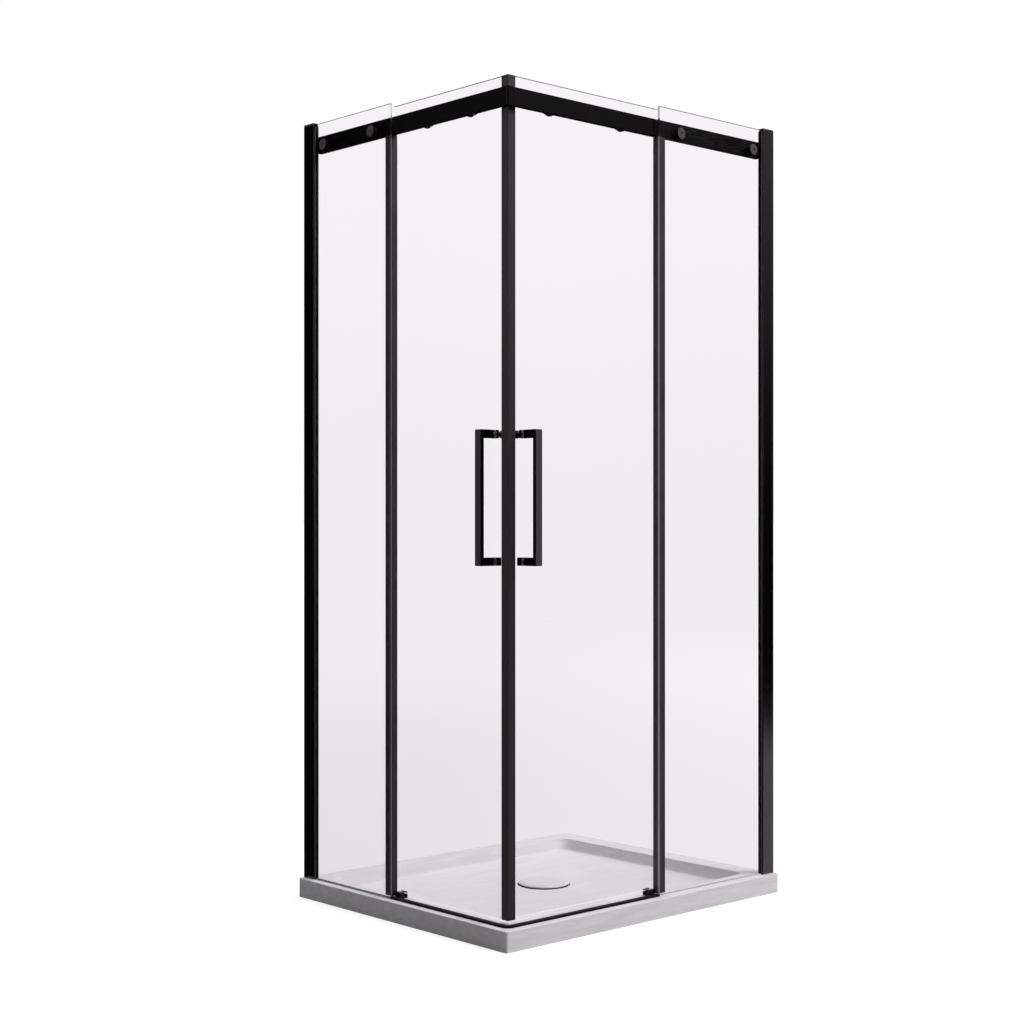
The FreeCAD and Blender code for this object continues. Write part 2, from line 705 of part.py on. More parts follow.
def build_rail_corner():
    """The block that joins the two rails, with a tongue in each and a screw through each tongue."""
    body = column("corner_block", "front", [
        ("rail_out", "rail_out"), ("rail_start", "rail_out"), ("rail_start", "rail_in"),
        ("rail_in", "rail_in"), ("rail_in", "rail_start"), ("rail_out", "rail_start")],
        "rail_low", "rail_top")
    fillet(body, body.Tip, "corner_round", lambda edge: is_upright_at(edge, "rail_out", "rail_out"))
    tongues, screws, holes = [], [], []
    for face in FACES:
        tongues.append(slab(f"corner_tongue_{face}", face, ("rail_start", "rail_start + tongue_length"),
                            ("bore_out + tongue_gap", "bore_in - tongue_gap"),
                            ("bore_low + tongue_gap", "bore_top - tongue_gap")))
        middle = "rail_start + tongue_length / 2"
        holes.append(rod(f"corner_hole_{face}", face, middle, ("bore_out - overrun", "bore_in + overrun"),
                         "axle_height", "corner_screw_radius + fit_gap"))
        screws.append(rod(f"corner_screw_{face}", face, middle, ("bore_out", "bore_in - tongue_gap"),
                          "axle_height", "corner_screw_radius"))
    block = fuse("corner_with_tongues", [body] + tongues)
    node("rail_corner", cut("rail_corner", block, holes))
    node("rail_corner_screws", group("rail_corner_screws", screws))


def build_threshold():
    """The low strip on the rim under both doors, rounded at the entry corner."""
    body = column("threshold_strip", "front", [
        ("strip_inset", "strip_inset"), ("edge_front", "strip_inset"), ("edge_front", "strip_in"),
        ("strip_in", "strip_in"), ("strip_in", "edge_side"), ("strip_inset", "edge_side")],
        "tray_height", "tray_height + strip_height")
    inner = fillet(body, body.Tip, "strip_round", lambda edge: is_upright_at(edge, "strip_in", "strip_in"))
    fillet(body, inner, "strip_round + strip_width",
           lambda edge: is_upright_at(edge, "strip_inset", "strip_inset"))
    node("threshold_strip", body)


def build_guide(face):
    """The forked guide on the rim that the door's lower edge runs in, and its screw."""
    start = f"edge_{face} - guide_gap - guide_width"
    outer, inner = "guide_slot_out - guide_outer_jaw", "guide_slot_in + guide_inner_jaw"
    fork = beam(f"guide_fork_{face}", face, [
        (outer, "tray_height"), (inner, "tray_height"), (inner, "guide_top"), ("guide_slot_in", "guide_top"),
        ("guide_slot_in", "guide_low"), ("guide_slot_out", "guide_low"), ("guide_slot_out", "guide_top"),
        (outer, "guide_top")], start, f"{start} + guide_width")
    drills, screw_parts = [], []
    seat = "guide_low - guide_head_thick"
    for name, radius, low, high in (
            ("shank", "guide_screw_radius", "tray_height - guide_screw_depth", seat),
            ("head", "guide_head_radius", seat, "guide_low")):
        drill = doc.addObject("Part::Cylinder", f"guide_{name}_hole_{face}")
        drill.setExpression("Radius", formula(f"{radius} + hole_gap"))
        drill.setExpression("Height", formula(f"{high} - ({low}) + overrun"))
        locate(drill, *guide_screw_place(face), low)
        drills.append(drill)
        rodlet = doc.addObject("Part::Cylinder", f"guide_{name}_{face}")
        rodlet.setExpression("Radius", formula(radius))
        rodlet.setExpression("Height", formula(f"{high} - ({low})"))
        locate(rodlet, *guide_screw_place(face), low)
        screw_parts.append(rodlet)
    both = fuse(f"guide_drill_{face}", drills)
    node(f"bottom_guide_{face}", cut(f"bottom_guide_{face}", fork, [both]))
    return fuse(f"guide_screw_{face}", screw_parts)


def build_door(face):
    """A sliding door: pane, edge profiles, handle with its fixings, and roller axles with their caps."""
    trail = f"trail_{face}"
    rollers = (("lead", "roller_lead"), ("trail", f"roller_trail_{face}"))
    legs = (("low", "handle_low + handle_leg / 2"), ("high", "handle_top - handle_leg / 2"))

    pane = slab(f"door_pane_{face}", face, ("pocket_end + pocket_gap", trail), ("door_out", "door_in"),
                ("door_low", "glass_top"))
    through = ("door_out - overrun", "door_in + overrun")
    holes = [rod(f"roller_hole_{face}_{name}", face, s, through, "axle_height",
                 "hub_radius + roller_hole_gap") for name, s in rollers]
    holes += [rod(f"handle_hole_{face}_{name}", face, "handle_axis", through, height, "handle_hole_radius")
              for name, height in legs]
    node(f"door_glass_{face}", cut(f"door_glass_{face}", pane, holes))

    node(f"lead_profile_{face}", column(f"lead_profile_{face}", face, [
        ("post_out + magnet_thick", "post_out"), ("post_end", "post_out"), ("post_end", "pocket_out"),
        ("pocket_end", "pocket_out"), ("pocket_end", "pocket_in"), ("post_end", "pocket_in"),
        ("post_end", "post_in"), ("post_in + magnet_thick", "post_in")], "post_low", "glass_top"))
    node(f"magnet_seal_{face}", column(f"magnet_seal_{face}", face, [
        ("post_out + corner_gap", "post_out"), ("post_out + magnet_thick", "post_out"),
        ("post_in + magnet_thick", "post_in"), ("post_in + corner_gap", "post_in")], "post_low", "glass_top"))

    grip, nose = f"{trail} - trail_grip", f"{trail} + trail_nose"
    outer, inner = "pocket_out - trail_wall", "pocket_in + trail_wall"
    node(f"trail_seal_{face}", column(f"trail_seal_{face}", face, [
        (grip, outer), (nose, outer), (nose, inner), (grip, inner), (grip, "pocket_in"),
        (f"{trail} + pocket_gap", "pocket_in"), (f"{trail} + pocket_gap", "pocket_out"),
        (grip, "pocket_out")], "door_low", "rail_low - brush_head_drop"))

    bar_in, leg_low, leg_top = "handle_out + handle_bar", "handle_low + handle_leg", "handle_top - handle_leg"
    bow = beam(f"handle_bow_{face}", face, [
        ("handle_out", "handle_low"), ("handle_in", "handle_low"), ("handle_in", leg_low), (bar_in, leg_low),
        (bar_in, leg_top), ("handle_in", leg_top), ("handle_in", "handle_top"), ("handle_out", "handle_top")],
        "handle_start", "handle_end")
    fillet(bow, bow.Tip, "handle_round", lambda edge: is_handle_corner(edge, face))
    depth = ("handle_in - stud_depth - hole_gap", "handle_in + overrun")
    bores = [rod(f"handle_bore_{face}_{name}", face, "handle_axis", depth, height, "stud_radius + hole_gap")
             for name, height in legs]
    node(f"handle_{face}", cut(f"handle_{face}", bow, bores))

    knobs, washers = [], []
    seat = "door_in + washer_thick"
    stud = [("0", "handle_in - stud_depth"), ("stud_radius", "handle_in - stud_depth")]
    cap_end, collar_end = f"{seat} + inside_cap_depth", f"{seat} + collar_depth"
    head = f"{collar_end} + knob_neck_length"
    tip = f"{head} + knob_length"
    fittings = {
        "low": (cap_end, [("stud_radius", f"{seat} + washer_thick"), ("0", f"{seat} + washer_thick")]),
        "high": (collar_end, [
            ("stud_radius", f"{seat} + washer_thick"), ("knob_neck_radius", f"{seat} + washer_thick"),
            ("knob_neck_radius", head), ("knob_radius - knob_bevel", head), ("knob_radius", f"{head} + knob_bevel"),
            ("knob_radius", f"{tip} - knob_bevel"), ("knob_radius - knob_bevel", tip), ("0", tip)])}
    for name, height in legs:
        block_end, rest = fittings[name]
        block = slab(f"inside_block_{face}_{name}", face, ("handle_start", "handle_end"), (seat, block_end),
                     (f"{height} - handle_leg / 2", f"{height} + handle_leg / 2"))
        stem = turned(f"inside_stem_{face}_{name}", face, stud + rest, "handle_axis", height)
        knobs.append(fuse(f"handle_knob_{face}_{name}", [block, stem]))
        for where, start, end in (("out", "handle_in", "door_out"), ("in", "door_in", seat)):
            washers.append(turned(f"handle_washer_{face}_{name}_{where}", face,
                                  ring("stud_radius + hole_gap", "handle_washer_radius", start, end),
                                  "handle_axis", height))
    node(f"handle_knobs_{face}", group(f"handle_knobs_{face}", knobs))
    node(f"handle_washers_{face}", group(f"handle_washers_{face}", washers))

    axles, caps = [], []
    head, shoulder = "wheel_out - axle_play", "wheel_in + axle_play"
    flange, spigot = "rail_in + hub_flange_gap", "door_in + spigot_length"
    top = "door_in + roller_cap_thick"
    for name, s in rollers:
        axles.append(turned(f"roller_axle_{face}_{name}", face, [
            ("0", f"{head} - axle_head_thick"), ("axle_head_radius", f"{head} - axle_head_thick"),
            ("axle_head_radius", head), ("axle_radius", head), ("axle_radius", shoulder),
            ("hub_radius", shoulder), ("hub_radius", flange), ("hub_flange_radius", flange),
            ("hub_flange_radius", "door_out"), ("hub_radius", "door_out"), ("hub_radius", spigot),
            ("0", spigot)], s, "axle_height"))
        caps.append(turned(f"roller_cap_{face}_{name}", face, [
            ("0", f"{spigot} + fit_gap"), ("hub_radius + fit_gap", f"{spigot} + fit_gap"),
            ("hub_radius + fit_gap", "door_in"), ("roller_cap_radius", "door_in"),
            ("roller_cap_radius", f"{top} - roller_cap_bevel"), ("roller_cap_radius - roller_cap_bevel", top),
            ("0", top)], s, "axle_height"))
        build_roller(f"{face}_{name}", face, s)
    node(f"roller_axles_{face}", group(f"roller_axles_{face}", axles))
    node(f"roller_caps_{face}", group(f"roller_caps_{face}", caps))


def is_handle_corner(edge, face):
    """Whether an edge is one of the two outer corners of a handle's bow, in its body's own axes."""
    middle = edge.CenterOfMass
    inset = middle.y if face == "front" else middle.x
    return near(inset, value("handle_out")) and any(
        is_level_at(edge, value(end)) for end in ("handle_low", "handle_top"))


def build_roller(name, face, s):
    """One roller: a plastic tyre on a small ball bearing."""
    bore = "bearing_radius + fit_gap"
    rim = "wheel_radius - wheel_bevel"
    node(f"wheel_{name}", turned(f"wheel_{name}", face, [
        (bore, "wheel_out"), (rim, "wheel_out"), ("wheel_radius", "wheel_out + wheel_bevel"),
        ("wheel_radius", "wheel_in - wheel_bevel"), (rim, "wheel_in"), (bore, "wheel_in")], s, "axle_height"))
    hole, inner = "axle_radius + fit_gap", "axle_radius + bearing_ring"
    outer = "bearing_radius - bearing_ring"
    low, high = "wheel_out + bearing_shield", "wheel_in - bearing_shield"
    node(f"bearing_{name}", turned(f"bearing_{name}", face, [
        (hole, "wheel_out"), (inner, "wheel_out"), (inner, low), (outer, low), (outer, "wheel_out"),
        ("bearing_radius", "wheel_out"), ("bearing_radius", "wheel_in"), (outer, "wheel_in"), (outer, high),
        (inner, high), (inner, "wheel_in"), (hole, "wheel_in")], s, "axle_height"))


def build_enclosure():
    build_tray()
    build_waste()
    build_rail_corner()
    build_threshold()
    shared = {name: [] for name in (
        "channel_caps", "glazing_seals", "lock_screws", "base_seals", "closing_brushes", "rail_end_plugs",
        "rail_stops", "clamp_discs", "clamp_washers", "clamp_spacers", "guide_screws")}
    for face in FACES:
        cap, seals, screws = build_wall_profiles(face)
        base_seal, brush = build_fixed_pane(face)
        plug, stops, discs, washers, spacers = build_rail(face)
        build_door(face)
        pieces = ([cap], seals, screws, [base_seal], [brush], [plug], stops, discs, washers, spacers,
                  [build_guide(face)])
        for members, found in zip(shared.values(), pieces):
            members.extend(found)
    for name, members in shared.items():
        node(name, group(name, members))


def check_and_write():
    """Stop on any failed object, then write one file for each sub-part."""
    doc.recompute()
    failed = [item.Name for item in doc.Objects if {"Invalid", "Error"} & set(item.State)]
    bad = [name for name, piece in nodes.items() if piece.Shape.isNull() or not piece.Shape.isValid()]
    if failed or bad:
        raise RuntimeError(f"failed objects: {failed}, bad shapes: {bad}")
    os.makedirs("parts", exist_ok=True)
    for name, piece in nodes.items():
        piece.Shape.exportStep(f"parts/{name}.step")
    for name, piece in sorted(nodes.items()):
        box = piece.Shape.BoundBox
        print(f"{name}: {len(piece.Shape.Solids)} solids, {piece.Shape.Volume:.0f} mm3,"
              f" z {box.ZMin:.1f} to {box.ZMax:.1f}")
    print(len(nodes), "sub-parts; door travel",
          [round(value(f"travel_{face}"), 3) for face in FACES], "mm")


build_enclosure()
check_and_write()
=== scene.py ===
import json
import math
import random

import bmesh
import bpy
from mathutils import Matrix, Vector


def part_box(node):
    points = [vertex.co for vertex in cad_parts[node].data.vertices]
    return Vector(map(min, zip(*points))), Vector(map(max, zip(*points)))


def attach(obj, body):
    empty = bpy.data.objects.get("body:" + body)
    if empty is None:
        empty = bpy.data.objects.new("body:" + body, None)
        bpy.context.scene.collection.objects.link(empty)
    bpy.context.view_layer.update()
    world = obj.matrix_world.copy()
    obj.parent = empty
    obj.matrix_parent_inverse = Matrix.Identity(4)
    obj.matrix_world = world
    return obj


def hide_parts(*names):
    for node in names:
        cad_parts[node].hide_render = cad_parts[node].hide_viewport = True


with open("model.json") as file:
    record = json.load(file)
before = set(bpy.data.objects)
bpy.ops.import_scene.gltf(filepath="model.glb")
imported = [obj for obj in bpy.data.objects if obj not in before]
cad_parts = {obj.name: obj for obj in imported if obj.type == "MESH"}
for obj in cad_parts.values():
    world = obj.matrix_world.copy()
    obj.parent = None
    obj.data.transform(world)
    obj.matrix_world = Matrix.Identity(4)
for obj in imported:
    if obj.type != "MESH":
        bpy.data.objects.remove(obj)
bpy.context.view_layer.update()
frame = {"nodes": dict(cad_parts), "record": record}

# A corner-entry shower enclosure in a white studio. Lengths are in metres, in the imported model's frame,
# and in millimetres where a comment says so.
SCENE = bpy.context.scene
NODES = frame["nodes"]
MM = 0.001

# Camera fitted to the photograph: level, a little under a metre high, turned towards the entry corner.
CAMERA_PLACE = Vector((-2.8908, -3.0664, 0.9122))
CAMERA_AIM = Vector((0.67406, 0.73868, 0.0))
CAMERA_LENS = 60.759
CAMERA_SENSOR = 36.0
CAMERA_SHIFT = 0.00776

# Lamps, as directions that the light comes from, strengths and angles of spread in degrees.
KEY_FROM, KEY_STRENGTH, KEY_SPREAD = Vector((0.55, -0.75, 0.75)), 2.02, 40
TOP_FROM, TOP_STRENGTH, TOP_SPREAD = Vector((0.1, 0.1, 1.0)), 1.8, 70
FILL_FROM, FILL_LOW, FILL_HIGH = (0.7, -0.6, 0.35), 0.04, 0.34

# Tints of the lamps, of the pale backdrop and of the black finishes.
LAMP_TINT = (1.0, 0.981, 1.0)
PALE_TINT = (1.0, 0.986, 1.0)
BLACK_TINT = (1.0, 0.88, 0.97)

# The room as gloss sees it: the flank that the long face mirrors, a soft left side, the backdrop behind,
# bright heights, and a pool of light on the floor.
FLANK, FLANK_LOW, FLANK_HIGH = (0.677, -0.736, 0.0), 0.012, 0.38
LEFT, LEFT_STRENGTH = (-0.985, 0.08, 0.0), 4.6
BEHIND = (0.677, 0.736, 0.0)
HEIGHTS_STRENGTH = 1.1
POOL_CENTRE, POOL_FULL, POOL_END = (1.5, -1.35, 0.0), 1.0, 2.6
POOL_STRENGTH, POOL_OUTSIDE = 0.6, 0.01

# The floor: the grey that it scatters and the glow that it adds, for the camera and for rays through glass.
# Through glass it has painted shade near the object and on its left, and painted light on its right.
FLOOR_SIZE = 600.0
FLOOR_GREY, FLOOR_GLOW = 0.32, 0.76
BESIDE_GREY, BESIDE_GLOW_NEAR_PAINTED_SHADE, BESIDE_GLOW_FAR = 0.22, 0.62, 0.71
LEFT_PAINTED_SHADE, RIGHT_PAINTED_LIGHT = 0.965, 1.075
# The grey of bounced light, and the painted shade of the floor under the outlet.
BOUNCE_GREY, DRAIN_PAINTED_SHADE_GREY = 0.30, 0.02
FAR_WHITE = 0.955

# Where the CAD model's faces are: the entry corner, each face's axis, width and normal, and where its fixed
# pane begins, from the corner.
FACES = ("front", "side")
TRAY_HALF = (0.450, 0.375)
CORNER = tuple(-half for half in TRAY_HALF)
ALONG = {"front": 0, "side": 1}
SPAN = {face: 2 * TRAY_HALF[ALONG[face]] for face in FACES}
ACROSS = {"front": (0.0, 1.0, 0.0), "side": (1.0, 0.0, 0.0)}
PANE_EDGE = {face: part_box("fixed_glass_" + face)[0][ALONG[face]] - CORNER[ALONG[face]] for face in FACES}

# The tray's stone, and the painted light and shade on it: how much lighter or darker its outer faces, rim,
# basin and far basin wall are painted.
STONE_DARK, STONE_LIGHT = (0.65, 0.64, 0.65, 1), (0.77, 0.76, 0.77, 1)
FACE_PAINTED_SHADE_NEAR, FACE_PAINTED_LIGHT_FAR, RIM_PAINTED_SHADE, BASIN_PAINTED_SHADE, WALL_PAINTED_LIGHT = 0.97, 1.08, 0.90, 0.98, 1.22
RIM_WIDTH, RIM_BLEND = 0.060, 0.004
BASIN_STREAKS = 0.6

# The seal's lighter, painted-light stretch under the front pane begins further than this from the side face;
# nearer the side face it is painted dark as shade.
SEAL_REACH = 0.1

# Heights and distances on the CAD model that the scene's own pieces follow, in millimetres.
PANE_TOP, FIXED_PANE_FOOT, DOOR_PANE_FOOT = 1866.0, 48.0, 57.0
OVER_RAIL, UNDER_RAIL = 1838.0, 1796.0
WALL_PROFILE = 44.0
DOOR_LAP_TOP, DOOR_LAP_FOOT = 22.0, 12.5
SCREW_HEIGHTS, SCREW_FROM_WALL = (263.5, 955.5, 1647.5), 14.0
ROLLER_HEIGHT = 1814.0
CLAMP_HEIGHT, CLAMP_FROM_EDGE, CLAMP_FROM_WALL = 1812.5, 70.0, 75.0
BRUSH_FOOT, BRUSH_TOP, BRUSH_FROM_EDGE = 60.0, 1780.0, 12.0

# From which distance to which, inwards from the tray's edge, the panes' edges are ground, in millimetres.
FIXED_EDGE = {"front": (20.0, 26.0), "side": (21.5, 24.5)}
DOOR_EDGE = (46.0, 52.0)


# Node helpers.

def new_material(name):
    """A material with an empty tree, its tree and its output node."""
    material = bpy.data.materials.new(name)
    material.use_nodes = True
    tree = material.node_tree
    tree.nodes.clear()
    return material, tree, tree.nodes.new("ShaderNodeOutputMaterial")


def add(tree, kind, settings=None, **sockets):
    """Add a node, set its properties and the values of its sockets, or link sockets that are given."""
    node = tree.nodes.new("ShaderNode" + kind)
    for key, setting in (settings or {}).items():
        setattr(node, key, setting)
    for key, content in sockets.items():
        socket = node.inputs[int(key[3:]) if key.startswith("in_") else key.replace("_", " ")]
        if isinstance(content, bpy.types.NodeSocket):
            tree.links.new(content, socket)
        else:
            socket.default_value = content
    return node


def grey(level):
    """A neutral colour."""
    return (level, level, level, 1.0)


def tinted(level, tint):
    """A colour of a given level with a tint."""
    return (*(level * part for part in tint), 1.0)


def math_node(tree, operation, first, second=0.0, third=0.0):
    return add(tree, "Math", {"operation": operation}, in_0=first, in_1=second, in_2=third).outputs[0]


def vector_node(tree, operation, first, second):
    """A number from two vectors."""
    return add(tree, "VectorMath", {"operation": operation}, in_0=first, in_1=second).outputs["Value"]


def noise(tree, place, scale, detail=3.0, roughness=0.55):
    return add(tree, "TexNoise", Vector=place, Scale=scale, Detail=detail, Roughness=roughness).outputs["Fac"]


def stretched(tree, place, factors):
    """Coordinates scaled by different amounts along X, Y and Z."""
    return add(tree, "Mapping", Vector=place, Scale=factors).outputs["Vector"]


def remap(tree, source, from_low, from_high, low, high, smooth=False):
    """Map a value from one range to another, evenly or smoothly, and hold it at the ends."""
    settings = {"interpolation_type": "SMOOTHSTEP"} if smooth else None
    return add(tree, "MapRange", settings, Value=source, From_Min=from_low, From_Max=from_high,
               To_Min=low, To_Max=high).outputs["Result"]


def spread(tree, source, low, high):
    """Map a noise's usual range to a range of values."""
    return remap(tree, source, 0.3, 0.7, low, high)


def ramp(tree, source, from_low, from_high, low=0.0, high=1.0):
    """Map a value smoothly from one range to another."""
    return remap(tree, source, from_low, from_high, low, high, smooth=True)


def blend_colour(tree, factor, first, second):
    """A colour between two, by a factor."""
    mix = tree.nodes.new("ShaderNodeMix")
    mix.data_type = "RGBA"
    tree.links.new(factor, mix.inputs["Factor"])
    for name, colour in (("A", first), ("B", second)):
        socket = next(s for s in mix.inputs if s.name == name and s.type == "RGBA")
        socket.default_value = colour
    return next(s for s in mix.outputs if s.type == "RGBA")


def mottled(tree, source, first, second):
    """Two colours mixed by a noise."""
    return blend_colour(tree, spread(tree, source, 0.0, 1.0), first, second)


def bump(tree, height, strength, distance):
    return add(tree, "Bump", Height=height, Strength=strength, Distance=distance).outputs["Normal"]


def object_place(tree):
    return add(tree, "TexCoord").outputs["Object"]


def surface_normal(tree):
    return add(tree, "NewGeometry").outputs["Normal"]


def parts_of(tree, vector):
    """The X, Y and Z of a vector."""
    return add(tree, "SeparateXYZ", Vector=vector).outputs


def finish_of(tree, output, shader):
    tree.links.new(shader.outputs[0], output.inputs["Surface"])


# Materials.

def powder_coat(name, level, roughness, specular=0.5):
    """Black powder coat on aluminium: fine orange-peel grain, and patches a little duller than others."""
    material, tree, output = new_material(name)
    place = object_place(tree)
    finish_of(tree, output, add(
        tree, "BsdfPrincipled",
        Base_Color=mottled(tree, noise(tree, place, 9.0), tinted(level * 0.85, BLACK_TINT),
                           tinted(level * 1.15, BLACK_TINT)),
        Roughness=spread(tree, noise(tree, place, 60.0), roughness - 0.03, roughness + 0.04),
        Normal=bump(tree, noise(tree, place, 1400.0, detail=2.0), 0.15, 0.0001),
        Specular_IOR_Level=specular, Specular_Tint=tinted(1.0, BLACK_TINT)))
    return material


def handle_material(name, across):
    """Handle: brushed dark grey faces along the door, glossier black flanks. across is the door's normal."""
    material, tree, output = new_material(name)
    place = object_place(tree)
    facing = vector_node(tree, "DOT_PRODUCT", surface_normal(tree), across)
    face = math_node(tree, "GREATER_THAN", math_node(tree, "ABSOLUTE", facing), 0.9)
    brushed = noise(tree, stretched(tree, place, (1.0, 1.0, 0.02)), 1600.0, detail=2.0)
    dull = remap(tree, face, 0.0, 1.0, 0.24, 0.5)
    finish_of(tree, output, add(
        tree, "BsdfPrincipled",
        Base_Color=blend_colour(tree, face, tinted(0.001, BLACK_TINT), tinted(0.053, BLACK_TINT)),
        Roughness=math_node(tree, "ADD", dull, spread(tree, brushed, -0.04, 0.05)),
        Specular_IOR_Level=0.2, Specular_Tint=tinted(1.0, BLACK_TINT),
        Normal=bump(tree, brushed, 0.08, 0.0001)))
    return material


def tray_material():
    """White cast-stone tray: faint slaty streaks, a fine tooth, a satin gel coat, and painted light and shade.
    """
    material, tree, output = new_material("tray_white")
    place = object_place(tree)
    turned = add(tree, "Mapping", Vector=place, Rotation=(0.0, 0.0, 0.5),
                 Scale=(1.0, 5.0, 9.0)).outputs["Vector"]
    streaks = math_node(tree, "ADD", noise(tree, turned, 9.0, detail=6.0, roughness=0.6),
                        spread(tree, noise(tree, turned, 46.0, detail=4.0), -0.07, 0.07))
    apart = parts_of(tree, place)
    normal = parts_of(tree, surface_normal(tree))
    from_edges = [math_node(tree, "SUBTRACT", half, math_node(tree, "ABSOLUTE", apart[axis]))
                  for half, axis in zip(TRAY_HALF, "XY")]
    inset = math_node(tree, "MINIMUM", *from_edges)
    rim_end = (RIM_WIDTH - RIM_BLEND, RIM_WIDTH + RIM_BLEND)
    # Painted light and shade: the outer faces darker near the entry corner and lighter away from it, the rim
    # top darker, the basin a little darker and its far wall lighter.
    along = math_node(tree, "ADD", apart["X"], apart["Y"])
    face = remap(tree, along, sum(CORNER), 0.0, FACE_PAINTED_SHADE_NEAR, FACE_PAINTED_LIGHT_FAR)
    rim_painted_shade = remap(tree, normal["Z"], 0.5, 0.95, face, RIM_PAINTED_SHADE)
    basin_painted_light_and_shade = remap(tree, normal["X"], -0.4, -0.95, BASIN_PAINTED_SHADE, BASIN_PAINTED_SHADE * WALL_PAINTED_LIGHT)
    painted_light_and_shade = remap(tree, inset, *rim_end, rim_painted_shade, basin_painted_light_and_shade)
    strength = remap(tree, inset, *rim_end, 1.0, BASIN_STREAKS)
    streaks = math_node(tree, "MULTIPLY_ADD", spread(tree, streaks, -0.5, 0.5), strength, 0.5)
    stone = blend_colour(tree, streaks, STONE_DARK, STONE_LIGHT)
    finish_of(tree, output, add(
        tree, "BsdfPrincipled",
        Base_Color=add(tree, "VectorMath", {"operation": "SCALE"}, in_0=stone, Scale=painted_light_and_shade).outputs["Vector"],
        Roughness=spread(tree, noise(tree, place, 30.0), 0.42, 0.54),
        Specular_IOR_Level=0.2,
        Normal=bump(tree, noise(tree, place, 700.0, detail=2.0), 0.1, 0.0001)))
    return material


def waste_material():
    """Gloss white plastic with a faint moulding texture."""
    material, tree, output = new_material("waste_white")
    place = object_place(tree)
    finish_of(tree, output, add(
        tree, "BsdfPrincipled",
        Base_Color=mottled(tree, noise(tree, place, 25.0), (0.58, 0.572, 0.58, 1), (0.62, 0.612, 0.62, 1)),
        Roughness=spread(tree, noise(tree, place, 80.0), 0.32, 0.42),
        Normal=bump(tree, noise(tree, place, 500.0), 0.02, 0.00005)))
    return material


def light_passes(tree, shader, colour):
    """A shader that lamps and bounced light pass through, so that it casts no dark shadow."""
    clear = add(tree, "BsdfTransparent", Color=colour)
    path = add(tree, "LightPath")
    passing = math_node(tree, "MAXIMUM", path.outputs["Is Shadow Ray"], path.outputs["Is Diffuse Ray"])
    return add(tree, "MixShader", Fac=passing, in_1=shader.outputs[0], in_2=clear.outputs[0])


def glass_material():
    """Clear toughened pane with a faint roller wave."""
    material, tree, output = new_material("glass")
    wave = noise(tree, stretched(tree, object_place(tree), (1.0, 1.0, 0.3)), 2.5, detail=1.0)
    shader = add(
        tree, "BsdfPrincipled",
        Base_Color=(0.919, 0.909, 0.920, 1), Roughness=0.0, IOR=1.1, Transmission_Weight=1.0,
        Specular_IOR_Level=0.2,
        Normal=bump(tree, wave, 0.02, 0.002))
    finish_of(tree, output, light_passes(tree, shader, (0.95, 0.95, 0.955, 1)))
    return material


def edge_material(name, level, cover):
    """Ground pane edge: matt and part see-through, with fine grinding lines along it."""
    material, tree, output = new_material(name)
    place = object_place(tree)
    lines = noise(tree, stretched(tree, place, (1.0, 1.0, 0.05)), 900.0, detail=2.0)
    finish_of(tree, output, add(
        tree, "BsdfPrincipled",
        Base_Color=mottled(tree, lines, grey(level * 0.9), grey(level * 1.08)),
        Roughness=spread(tree, noise(tree, place, 150.0), 0.35, 0.5),
        Alpha=cover,
        Normal=bump(tree, lines, 0.1, 0.0001)))
    return material


def foot_seal_material(name, front_painted_light_level, side_painted_shade_level):
    """Soft seal under the fixed panes, finely lined: painted light under the front pane and painted shade
    under the side one.
    """
    material, tree, output = new_material(name)
    place = object_place(tree)
    lines = noise(tree, stretched(tree, place, (0.05, 0.05, 1.0)), 900.0, detail=2.0)
    # Painted light and shade: lighter from SEAL_REACH on, under the front pane, and darker nearer the side
    # face.
    from_side = math_node(tree, "SUBTRACT", parts_of(tree, place)["X"], CORNER[0])
    front = math_node(tree, "GREATER_THAN", from_side, SEAL_REACH)
    level = remap(tree, front, 0.0, 1.0, side_painted_shade_level, front_painted_light_level)
    level = math_node(tree, "MULTIPLY", level, spread(tree, lines, 0.92, 1.06))
    finish_of(tree, output, add(
        tree, "BsdfPrincipled",
        Base_Color=add(tree, "CombineColor", Red=level, Green=level, Blue=level).outputs[0],
        Roughness=spread(tree, noise(tree, place, 120.0), 0.3, 0.45),
        Normal=bump(tree, lines, 0.1, 0.0001)))
    return material


def washer_material(name, level):
    """Clear plastic washer: see-through at its sides, with a painted highlight above and below, where it is
    made pale and opaque.
    """
    material, tree, output = new_material(name)
    upright = parts_of(tree, surface_normal(tree))["Z"]
    # Painted highlight: the washer is made opaque and pale where it faces up or down, and stays clear at its
    # sides.
    painted_rim_highlight = remap(tree, math_node(tree, "ABSOLUTE", upright), 0.1, 0.4, 0.06, 1.0)
    flow = noise(tree, object_place(tree), 300.0)
    finish_of(tree, output, add(
        tree, "BsdfPrincipled",
        Base_Color=mottled(tree, flow, grey(level * 0.95), grey(level * 1.02)),
        Roughness=spread(tree, flow, 0.2, 0.35),
        Alpha=painted_rim_highlight,
        Normal=bump(tree, flow, 0.05, 0.0001)))
    return material


def rubber_material(name, level, roughness):
    """Extruded black rubber: dull, with fine lines along its length."""
    material, tree, output = new_material(name)
    place = object_place(tree)
    lines = noise(tree, stretched(tree, place, (1.0, 1.0, 0.02)), 1500.0, detail=1.0)
    finish_of(tree, output, add(
        tree, "BsdfPrincipled",
        Base_Color=mottled(tree, noise(tree, place, 40.0), grey(level * 0.8), grey(level * 1.2)),
        Roughness=spread(tree, noise(tree, place, 90.0), roughness - 0.06, roughness + 0.06),
        Normal=bump(tree, lines, 0.15, 0.0002)))
    return material


